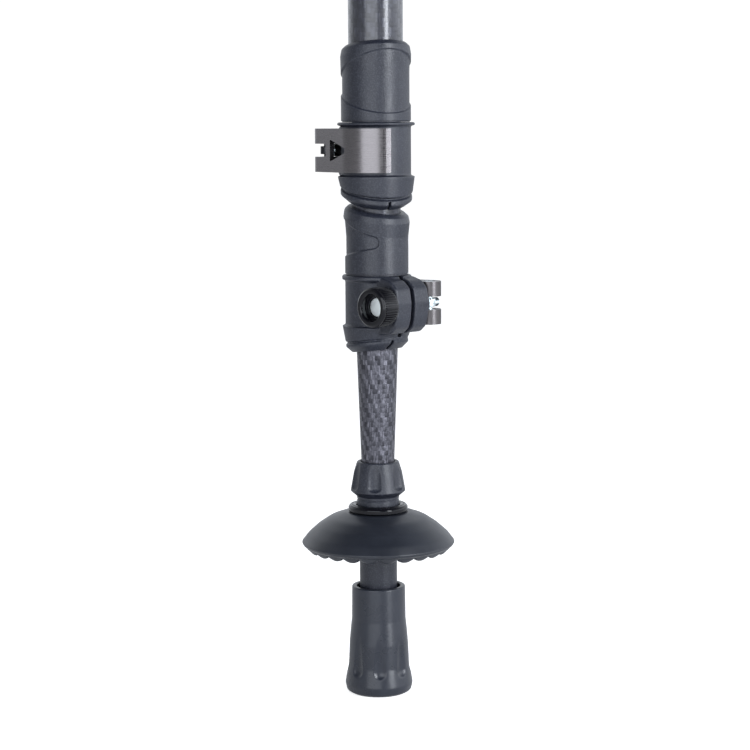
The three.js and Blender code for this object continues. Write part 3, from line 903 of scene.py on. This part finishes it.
def make_collar(clamp):
    c, r = clamp.collar, clamp.sleeve["r"]
    flange_r, flange_z0, flange_z1 = c["flange"]
    cone_r0, cone_r1, cone_z0, cone_z1 = c["cone"]
    end_r, end_z, lip_r, tilt = c["end"]
    grip, lip = clamp.held + 0.95, clamp.held + 0.25
    slope = math.tan(math.radians(tilt))

    depth, width, plain = c["groove"]
    groove = cone_r1 - depth

    def slanted(angle, radius, z):
        weight = min(max((z - cone_z0) / (cone_z1 - cone_z0), 0.0), 1.0)
        if plain and radius == groove:
            away = abs((math.degrees(angle) + 180) % 360 - 180)
            radius = cone_r1 - depth * smoothstep(plain - 5, plain + 5, away)
        return radius, z + weight * slope * radius * math.cos(angle)

    outline = [(grip, flange_z1), (flange_r - 0.4, flange_z1), (flange_r, flange_z1 - 0.4),
               (flange_r, flange_z0 + 0.2), (flange_r - 0.3, flange_z0), (r, flange_z0 - 0.2),
               (r, cone_z0 + 0.3), (cone_r0, cone_z0), (cone_r1, cone_z1), (groove, cone_z1 - 0.2),
               (groove, cone_z1 - 0.2 - width), (end_r, cone_z1 - 0.4 - width), (end_r, end_z + 2.0),
               (lip_r, end_z), (lip, end_z), (lip, end_z + 1.2), (grip, end_z + 1.2)]
    x = clamp.screw_x
    slit_azimuth, slit_lean = c["slit"]
    slit_half, screw_way, pocket_gap, seat_gap = 0.42, 1.8, 0.45, 0.9
    slit_top = cone_z1 - 0.5 - width + slope * end_r * math.cos(math.radians(slit_azimuth))

    def cutters():
        slit = block("end_slit", (6, -slit_half, -12), (30, slit_half, 0))
        across = shifted(x=x) @ ALONG_Y
        return [
            block("split", (6, -SPLIT / 2, cone_z1 + slope * cone_r1), (30, SPLIT / 2, 30)),
            moved(rod("screw_way", screw_way, -30, 30, 32), across),
            moved(rod("wheel_pocket", WHEEL["r"] + pocket_gap, -30, WHEEL["inner"] + 0.5, 96), across),
            moved(rod("lever_seat", LEVER["eye"] + seat_gap, 7.5, 30, 96), across),
            moved(slit, turned(slit_azimuth) @ shifted(z=slit_top)
                  @ Matrix.Rotation(math.radians(slit_lean), 4, "X")),
        ]

    body = revolve(f"{clamp.name}_collar_moulding", outline, 180, slanted)
    ears = moved(prism("ears", ear_outline(clamp), -7.5, 7.5), Matrix.Rotation(math.pi / 2, 4, "X"))
    edged(ears, 1.0, 4)
    combined(ears, "DIFFERENCE", [rod("way", grip + 0.3, -12, 14, 96)])
    shells = [combined(shell, "DIFFERENCE", cutters()) for shell in (body, ears)]
    body = largest_part(softened(merged(f"{clamp.name}_collar_moulding", shells), 0.25, 3))
    fit(body, clamp.section, MOULDED, [f"{clamp.name}_collar"], clamp.at, smooth=180)


def make_lever(clamp):
    inner_r = clamp.sleeve["r"] + GAP
    outer_r = inner_r + LEVER["thick"]
    pin = Vector((clamp.screw_x, clamp.pin_y))
    normal = math.atan2(pin.y, pin.x) + math.acos((outer_r - LEVER["eye"]) / pin.length)
    end = math.radians(LEVER["end"])

    def polar(radius, angle):
        return radius * math.cos(angle), radius * math.sin(angle)

    def from_pin(radius, angle):
        return pin.x + radius * math.cos(angle), pin.y + radius * math.sin(angle)

    steps = 48
    sweep = [normal + (end - normal) * k / steps for k in range(steps + 1)]
    lip = [polar(outer_r + rise, end + past) for rise, past in (
        (-0.7, 0.003), (-0.7, 0.048), (0.55, 0.052), (0.55, 0.075), (0.52, 0.185))]
    lip.append(polar(inner_r + 0.4, end + 0.195))
    outline = [polar(outer_r, a) for a in sweep] + lip + [polar(inner_r, a) for a in reversed(sweep)]
    meet = math.acos((LEVER["eye"] - LEVER["thick"]) / LEVER["eye"])
    around = 40
    outline += [from_pin(LEVER["eye"], normal + meet + (TURN - meet) * k / around) for k in range(around + 1)]
    half = LEVER["half"]
    body = prism(f"{clamp.name}_cam_lever", outline, -half, half)
    fork_frame = shifted(pin.x, pin.y) @ Matrix.Rotation(normal + math.pi / 2, 4, "Z")
    gap = LEVER["gap"] / 2
    root = LEVER["fork"]
    fork = filleted([(-12, -gap, 0), (root, -gap, 1.0), (root, gap, 1.0), (-12, gap, 0)], 0, 6)
    window = filleted([(8.1, -3.65, 0.4), (8.1, 3.65, 0.4), (16.8, 0.8, 0.4), (16.8, -0.8, 0.4)], 0.4, 6)
    through = Matrix.Rotation(math.pi / 2, 4, "X")
    cuts = [
        moved(prism("fork", fork, -12, 12), fork_frame @ through),
        moved(prism("window", window, -8, 8), fork_frame @ through),
        moved(rod("pin_way", 2.15, -10, 10, 64), shifted(pin.x, pin.y)),
    ]
    combined(body, "DIFFERENCE", cuts)
    edge = 0.32
    edged(body, edge, 3, 30)
    fit(body, f"{clamp.name}_lever_arm", LEVER_METAL_AND_SHADE[clamp.name], [f"{clamp.name}_lever"],
        clamp.at, smooth=28)
    flat_shaded_faces(body)


def make_wheel(clamp):
    r, inner, outer = WHEEL["r"], WHEEL["inner"], WHEEL["outer"]
    bore, counterbore, seat = WHEEL["bore"], WHEEL["counterbore"], WHEEL["seat"]
    base, ridges = r - 0.42, 48
    outline = [(bore, inner, 0.1), (base - 0.2, inner, 0.4), (base, inner - 0.9, 0.3),
               (base, outer + 1.3, 0.3), (r - 0.05, outer + 1.0, 0.2), (r - 0.1, outer + 0.5, 0.4),
               (r - 0.8, outer, 0.35), (counterbore + 0.5, outer, 0.35), (counterbore, outer + 0.6, 0.3),
               (counterbore, seat, 0.1), (bore, seat, 0.05)]
    wheel = revolve(f"{clamp.name}_thumb_wheel_body", filleted(outline, 0.2, 5), 192)
    ridge = block("ridge", (base - 0.15, -0.2, outer + 1.4), (r - 0.02, 0.2, inner - 0.8))
    body = ridged(wheel, edged(ridge, 0.13, 2), ridges, GLOSS)
    at = clamp.at @ shifted(x=clamp.screw_x) @ ALONG_Y
    fit(body, f"{clamp.name}_wheel", GLOSS, [f"{clamp.name}_thumb_wheel"], at, smooth=40)
    nut_face = -12.4
    nut = lathed(f"{clamp.name}_zinc_nut", [
        (0, nut_face), (2.9, nut_face, 0.15), (3.2, nut_face + 0.3, 0.25), (3.2, inner - 0.2, 0.1),
        (1.6, inner - 0.2, 0.1), (1.6, nut_face + 0.4, 0.1), (0, nut_face + 0.4)], 0.1, 4, 96)
    fit(nut, f"{clamp.name}_wheel", LIT_ZINC, [f"{clamp.name}_wheel_nut"], at)


def make_screw(clamp):
    at = clamp.at @ shifted(x=clamp.screw_x) @ ALONG_Y
    head_y, pitch, crest = -11.9, 0.5, 0.16
    screw = threaded(f"{clamp.name}_clamp_screw", SCREW_R, head_y, SCREW_END[clamp.name], pitch, crest, ZINC,
                     0.25)
    fit(screw, f"{clamp.name}_screw", ZINC, [f"{clamp.name}_tension_screw"], at)
    pin = lathed(f"{clamp.name}_barrel_pin", [
        (0, -7.05), (2.0, -7.05, 0.3), (2.0, -2.3, 0.1), (1.0, -2.2, 0.05), (1.0, -1.35, 0.05),
        (2.15, -1.3, 0.2), (2.15, 1.3, 0.2), (1.0, 1.35, 0.05), (1.0, 2.2, 0.05), (2.0, 2.3, 0.1),
        (2.0, 7.05, 0.3), (0, 7.05)], 0.1, 4, 64)
    pin_at = clamp.at @ shifted(clamp.screw_x, clamp.pin_y)
    fit(pin, f"{clamp.name}_screw", PIN_METAL_AND_SHADE[clamp.name], [f"{clamp.name}_pivot_pin"], pin_at)
    plate = revolve(f"{clamp.name}_thrust_plate", filleted([
        (1.6, 7.62, 0.05), (4.0, 7.62, 0.1), (4.0, 8.1, 0.15), (2.05, 8.15, 0.1), (2.05, 10.0, 0.1),
        (1.6, 10.0, 0.05)], 0.1, 3), 64)
    fit(plate, clamp.section, DARK_STEEL, [f"{clamp.name}_bearing_plate"], at)


def make_clamp(name):
    clamp = Clamp(name)
    make_sleeve(clamp)
    make_collar(clamp)
    make_lever(clamp)
    make_wheel(clamp)
    make_screw(clamp)


# ---- grip, level and top -----------------------------------------------------------------------
def make_grip():
    z0, z1 = heights("foam_grip")
    outline = [(9.05, z0, 0.1), (12.6, z0, 1.2), (13.5, z0 + 2.2, 2.5), (13.5, z1 - 2.2, 2.5),
               (12.6, z1, 1.2), (9.05, z1, 0.1)]
    body = revolve("foam_grip_body", filleted(outline, 1.0, 8), 160)
    fit(body, "upper_section", FOAM, ["foam_grip"])
    for node in ("grip_lower_ring", "grip_upper_ring"):
        a, b = heights(node)
        band = [(9.05, a), (12.9, a, 0.8), (12.9, b, 0.8), (9.05, b)]
        trim = revolve(node + "_trim", filleted(band, 0.1, 6), 128)
        fit(trim, "upper_section", MOULDED, [node])


def make_level():
    knob = joint("level_knob_turn")
    side = Vector(knob["axis"])
    level_at = shifted(z=knob["pos_m"][2] / MM) @ Matrix.Rotation(math.atan2(-side.x, side.y), 4, "Z")
    cup_x, knob_x, screw_ring_r = 29.0, -18.5, 10
    cup_at = level_at @ shifted(cup_x)
    bracket = revolve("level_bracket_body", [(9.05, -9), (13, -9), (13, 9), (9.05, 9)], 128)
    arm = block("arm", (11, -5, -9), (27, 5, -5))
    seat = moved(rod("seat", 13.5, -9, -5, 128), shifted(cup_x))
    ear = block("ear", (-22.5, -5, -6), (-11, 5, 6))
    combined(bracket, "UNION", [arm, seat, ear])
    holes = [moved(rod("hole", 1.45, -12, -2, 32), shifted(cup_x) @ turned(120 * i) @ shifted(screw_ring_r))
             for i in range(3)]
    combined(bracket, "DIFFERENCE", [
        rod("tube_way", 9.05, -12, 12, 128), block("split", (-30, -0.6, -30), (-6, 0.6, 30)),
        moved(rod("screw_way", 1.8, -12, 12, 32), shifted(knob_x) @ ALONG_Y), *holes])
    softened(bracket, 0.35, 3)
    fit(bracket, "level", ANODISED, ["level_bracket"], level_at, smooth=30)
    housing = lathed("level_housing_body", [
        (0, -4.2), (13.0, -4.2, 0.5), (13.0, 4.4, 0.5), (12.0, 5.5, 0.5), (9.3, 5.5, 0.3), (9.2, -1.7, 0.2),
        (0, -1.7)], 0.3, 5, 160)
    ridge = edged(block("ridge", (12.85, -0.3, -3.2), (13.0, 0.3, 3.2)), 0.05, 1)
    housing = ridged(housing, ridge, 48, ANODISED)
    fit(housing, "level", ANODISED, ["level_housing"], cup_at)
    vial = lathed("level_vial_glass", [
        (0, -1.4), (8.9, -1.4, 0.3), (8.9, 4.2, 0.5), (6, 5.0, 6), (3, 5.45, 6), (0, 5.6)], 0.3, 6, 96)
    fit(vial, "level", GLASS, ["level_vial"], cup_at, smooth=60)
    target = revolve("level_target_ring", filleted([
        (2.6, 5.52, 0.03), (3.0, 5.47, 0.03), (3.0, 5.6, 0.03), (2.6, 5.66, 0.03)], 0.03, 2), 64)
    fit(target, "level", GLOSS, (), cup_at)
    for i in range(3):
        spot = cup_at @ turned(120 * i) @ shifted(screw_ring_r)
        head = lathed(f"level_trim_screw_{i + 1}", [
            (0, -11.4), (2.4, -11.4, 0.3), (2.4, -9.3, 0.2), (1.2, -9.2, 0.1), (1.2, -5.2, 0.2), (0, -5.2)],
            0.2, 4, 48)
        combined(head, "DIFFERENCE", [block("slot", (-4, -0.3, -12), (4, 0.3, -10.7))])
        fit(head, f"level_trim_{i + 1}", BRASS, [f"level_adjusting_screw_{i + 1}"], spot)
    screw = lathed("level_thumb_screw", [
        (0, -5.3), (1.5, -5.3, 0.3), (1.5, 5.3, 0.1), (3.6, 5.3, 0.3), (3.8, 6.0, 0.2), (4.75, 6.2, 0.3),
        (4.75, 10.0, 0.5), (3.6, 10.3, 0.3), (3.0, 9.9, 0.3), (0, 9.8)], 0.2, 5, 96)
    knurl = edged(block("knurl", (4.6, -0.16, 6.5), (5.0, 0.16, 9.7)), 0.1, 2)
    screw = ridged(screw, knurl, 36, ANODISED)
    fit(screw, "level_knob", ANODISED, ["level_clamp_screw"],
        level_at @ shifted(knob_x) @ ALONG_Y)


def make_top():
    z0, z1 = heights("top_ferrule")
    rim = heights("upper_tube")[1] + GAP
    cap = revolve("top_ferrule_body", filleted([
        (5.3, z1 - 13.8), (5.3, z1, 0.3), (10.4, z1, 0.3), (11.8, z1 - 1.2, 0.4), (11.75, rim + 1.5, 0.3),
        (11.0, rim, 0.3), (8.0, rim, 0.1), (8.0, z0, 0.5), (0, z0)], 0.3, 5, closed=False)[::-1]
        + [(0, z1 - 13.8)], 128)
    knurl = edged(block("knurl", (11.6, -0.3, rim + 2.2), (12.0, 0.3, z1 - 2.0)), 0.12, 2)
    cap = ridged(cap, knurl, 54, ANODISED)
    fit(cap, "upper_section", ANODISED, ["top_ferrule"])
    foot, tip = heights("prism_stud")
    stud_r, threads_per_inch, thread_depth = 7.94, 11, 0.62
    stud = threaded("prism_stud_thread", stud_r, z1 + 1.2, tip, 25.4 / threads_per_inch,
                    thread_depth, STEEL, 0.8)
    neck = lathed("stud_neck", [(0, foot), (5, foot, 0.2), (5, z1 + 0.35, 0.1), (6.6, z1 + 0.35, 0.1),
                                (6.6, z1 + 2.4, 0.2), (0, z1 + 2.4)], 0.2, 3, 64)
    fit(merged("prism_stud_body", [stud, neck]), "upper_section", STEEL, ["prism_stud"])


make_foot()
make_ferrule()
make_basket()
make_basket_ring()
make_tubes()
for clamp_name in ("middle", "upper"):
    make_clamp(clamp_name)
make_grip()
make_level()
make_top()

# Pieces hidden inside keep their CAD shape and take a finish.
for node_name, material in (
    ("foot_washer", STEEL), ("lower_end_plug", NYLON), ("lower_guide_ring", NYLON),
    ("middle_end_plug", NYLON), ("upper_guide_ring", NYLON), ("middle_shim", NYLON), ("upper_shim", NYLON),
):
    held = frame["nodes"][node_name].data
    held.materials.clear()
    held.materials.append(material)


# ---- studio ------------------------------------------------------------------------------------
COOL = (0.90, 0.94, 1.0)


def make_studio():
    half = 6
    corners = [(-half, -half, 0), (half, -half, 0), (half, half, 0), (-half, half, 0)]
    floor = new_object("studio_floor", corners, [(0, 1, 2, 3)])
    material, tree, shader = start_material("white_floor")
    set_values(shader, Base_Color=(0.85, 0.85, 0.85, 1), Roughness=0.9, Specular_IOR_Level=0.0,
               Emission_Color=(1, 1, 1, 1))
    seen = add_node(tree, "ShaderNodeLightPath").outputs["Is Camera Ray"]
    give(tree, shader, "Emission Strength", ranged(tree, seen, 0.0, 1.0, 0.12, 0.72))
    floor.data.materials.append(material)

    world = bpy.data.worlds.new("soft_white_room")
    world.use_nodes = True
    tree = world.node_tree
    way = add_node(tree, "ShaderNodeSeparateXYZ")
    give(tree, way, 0, add_node(tree, "ShaderNodeTexCoord").outputs["Generated"])
    behind = times(tree, ranged(tree, way.outputs["Y"], 0.1, 0.7, smooth=True),
                   ranged(tree, way.outputs["Z"], 0.65, 0.97, 1.0, 0.0, smooth=True))
    beside = ranged(tree, math_node(tree, "ABSOLUTE", way.outputs["X"]), 0.40, 0.95, 0.05, 0.45, smooth=True)
    right = ranged(tree, way.outputs["X"], 0.75, 1.0, 0.0, 2.2, smooth=True)
    glow = plus(tree, plus(tree, behind, beside), right)
    seen = add_node(tree, "ShaderNodeLightPath").outputs["Is Camera Ray"]
    backdrop = tree.nodes["Background"]
    give(tree, backdrop, "Color", mixed(tree, seen, COOL + (1,), (1, 1, 1, 1)))
    give(tree, backdrop, "Strength", ranged(tree, seen, 0.0, 1.0, glow, 1.05))
    bpy.context.scene.world = world

    aim = Vector((0, 0, 0.15))
    for name, place, width, height, power in (
        ("left_softbox", (-0.32, -1.05, 0.30), 1.05, 1.1, 11.0),
        ("right_softbox", (0.80, -0.755, 0.44), 0.30, 1.1, 15.0),
    ):
        lamp = bpy.data.lights.new(name, "AREA")
        lamp.shape = "RECTANGLE"
        lamp.size, lamp.size_y = width, height
        lamp.energy = power
        lamp.color = COOL
        light = bpy.data.objects.new(name, lamp)
        light.location = place
        light.rotation_euler = (aim - Vector(place)).to_track_quat("-Z", "Y").to_euler()
        bpy.context.scene.collection.objects.link(light)


def make_camera():
    data = bpy.data.cameras.new("studio_camera")
    data.lens, data.sensor_width = 96, 36
    camera = bpy.data.objects.new("studio_camera", data)
    place, look_down, roll = (-0.0008, -0.662, 0.1924), 7.27, -0.33
    camera.matrix_world = (Matrix.Translation(place) @ Matrix.Rotation(math.radians(90 - look_down), 4, "X")
                           @ Matrix.Rotation(math.radians(roll), 4, "Z"))
    bpy.context.scene.collection.objects.link(camera)
    bpy.context.scene.camera = camera


make_studio()
make_camera()
bpy.context.scene.view_settings.view_transform = "Standard"
